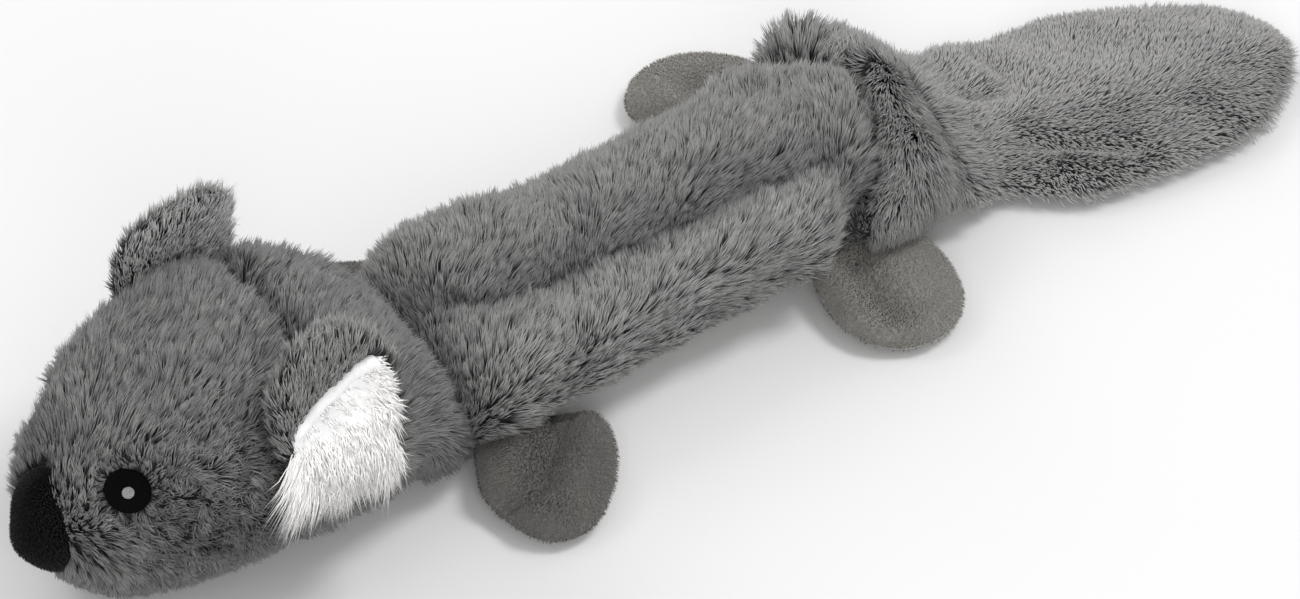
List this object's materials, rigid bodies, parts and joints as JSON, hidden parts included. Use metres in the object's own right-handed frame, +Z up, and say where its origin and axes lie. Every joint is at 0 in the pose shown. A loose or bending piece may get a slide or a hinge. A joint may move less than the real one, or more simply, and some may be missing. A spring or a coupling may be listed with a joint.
{
  "type": "squeaky dog toy",
  "caption": "Long flat-lying plush koala dog toy with a stuffed head, floppy velboa paws, a paddle tail and squeakers inside.",
  "frame": {"origin": "on the floor below the middle of the toy's box", "axes": "+Z up, +Y from the nose towards the tail, +X towards the toy's left side"},
  "size_m": [0.1972, 0.5396, 0.1026],
  "materials": {
    "grey_plush": "matte",
    "velboa": "matte",
    "white_plush": "matte",
    "black_velboa": "matte",
    "black_thread": "satin",
    "glint_thread": "satin",
    "wadding": "matte",
    "blown_plastic": "satin",
    "reed_plastic": "satin"
  },
  "bodies": {
    "body": {"back_cover": "grey_plush", "belly_panel": "velboa", "body_filling": "wadding", "body_squeaker_plug": "reed_plastic", "body_squeaker_reed": "reed_plastic"},
    "body_squeaker_bulb": {"body_squeaker_bellows": "blown_plastic"},
    "neck": {"neck_cover": "grey_plush", "neck_filling": "wadding"},
    "head": {"face_cover": "grey_plush", "head_back_cover": "grey_plush", "head_filling": "wadding", "nose_pad": "black_velboa", "eye_left": "black_thread", "eye_left_glint": "glint_thread", "eye_right": "black_thread", "eye_right_glint": "glint_thread", "head_squeaker_plug": "reed_plastic", "head_squeaker_reed": "reed_plastic"},
    "head_squeaker_bulb": {"head_squeaker_bellows": "blown_plastic"},
    "ear_left": {"ear_left_back": "grey_plush", "ear_left_lining": "white_plush"},
    "ear_right": {"ear_right_back": "grey_plush", "ear_right_lining": "white_plush"},
    "waist": {"waist_cover": "grey_plush", "waist_filling": "wadding"},
    "rump": {"rump_cover": "grey_plush", "rump_belly": "velboa", "rump_filling": "wadding"},
    "tail_root": {"tail_root_cover": "grey_plush", "tail_root_filling": "wadding"},
    "tail": {"tail_top_panel": "grey_plush", "tail_under_panel": "grey_plush"},
    "front_left_paw": {"front_left_paw_upper": "velboa", "front_left_paw_sole": "velboa"},
    "front_right_paw": {"front_right_paw_upper": "velboa", "front_right_paw_sole": "velboa"},
    "hind_left_paw": {"hind_left_paw_upper": "velboa", "hind_left_paw_sole": "velboa"},
    "hind_right_paw": {"hind_right_paw_upper": "velboa", "hind_right_paw_sole": "velboa"}
  },
  "joints": [
    {"name": "neck_turn", "type": "hinge", "parent": "body", "child": "neck", "pos_m": [0.00558, -0.11142, 0.024], "axis": [0, 0, 1], "range_deg": [-15, 15], "deforming": ["neck_cover", "neck_filling"]},
    {"name": "neck_nod", "type": "hinge", "parent": "neck", "child": "head", "pos_m": [0.00558, -0.11142, 0.024], "axis": [-1, 0, 0], "range_deg": [-15, 25]},
    {"name": "waist_turn", "type": "hinge", "parent": "body", "child": "waist", "pos_m": [0.00558, 0.08658, 0.024], "axis": [0, 0, 1], "range_deg": [-10, 10], "deforming": ["waist_cover", "waist_filling"]},
    {"name": "waist_fold", "type": "hinge", "parent": "waist", "child": "rump", "pos_m": [0.00558, 0.08658, 0.024], "axis": [0.9397, -0.342, 0], "range_deg": [-15, 20]},
    {"name": "tail_wag", "type": "hinge", "parent": "rump", "child": "tail_root", "pos_m": [0.00358, 0.13858, 0.007], "axis": [0, 0, 1], "range_deg": [-15, 15], "deforming": ["tail_root_cover", "tail_root_filling"]},
    {"name": "tail_lift", "type": "hinge", "parent": "tail_root", "child": "tail", "pos_m": [0.00358, 0.13858, 0.007], "axis": [0.9455, -0.3256, 0], "range_deg": [-20, 40]},
    {"name": "front_left_paw_flap", "type": "hinge", "parent": "body", "child": "front_left_paw", "pos_m": [0.04958, -0.08442, 0.01], "axis": [0, -1, 0], "range_deg": [-20, 50]},
    {"name": "front_right_paw_flap", "type": "hinge", "parent": "body", "child": "front_right_paw", "pos_m": [-0.03842, -0.08442, 0.01], "axis": [0, 1, 0], "range_deg": [-20, 50]},
    {"name": "hind_left_paw_flap", "type": "hinge", "parent": "body", "child": "hind_left_paw", "pos_m": [0.04119, 0.06972, 0.01], "axis": [0, -1, 0], "range_deg": [-20, 40]},
    {"name": "hind_right_paw_flap", "type": "hinge", "parent": "body", "child": "hind_right_paw", "pos_m": [-0.04751, 0.09101, 0.01], "axis": [0, 1, 0], "range_deg": [-20, 40]},
    {"name": "ear_left_fold", "type": "hinge", "parent": "head", "child": "ear_left", "pos_m": [0.06058, -0.17042, 0.057], "axis": [0.2419, 0.9703, 0], "range_deg": [-3, 70], "stiffness_Nm_per_rad": 0.02},
    {"name": "ear_right_fold", "type": "hinge", "parent": "head", "child": "ear_right", "pos_m": [-0.04942, -0.17042, 0.057], "axis": [0.2419, -0.9703, 0], "range_deg": [-3, 70], "stiffness_Nm_per_rad": 0.02},
    {"name": "body_squeaker_squeeze", "type": "slide", "parent": "body", "child": "body_squeaker_bulb", "axis": [0, 0, -1], "range_m": [0, 0.006], "stiffness_N_per_m": 250, "deforming": ["body_squeaker_bellows"]},
    {"name": "head_squeaker_squeeze", "type": "slide", "parent": "head", "child": "head_squeaker_bulb", "axis": [0, 0, -1], "range_m": [0, 0.006], "stiffness_N_per_m": 250, "deforming": ["head_squeaker_bellows"]}
  ]
}
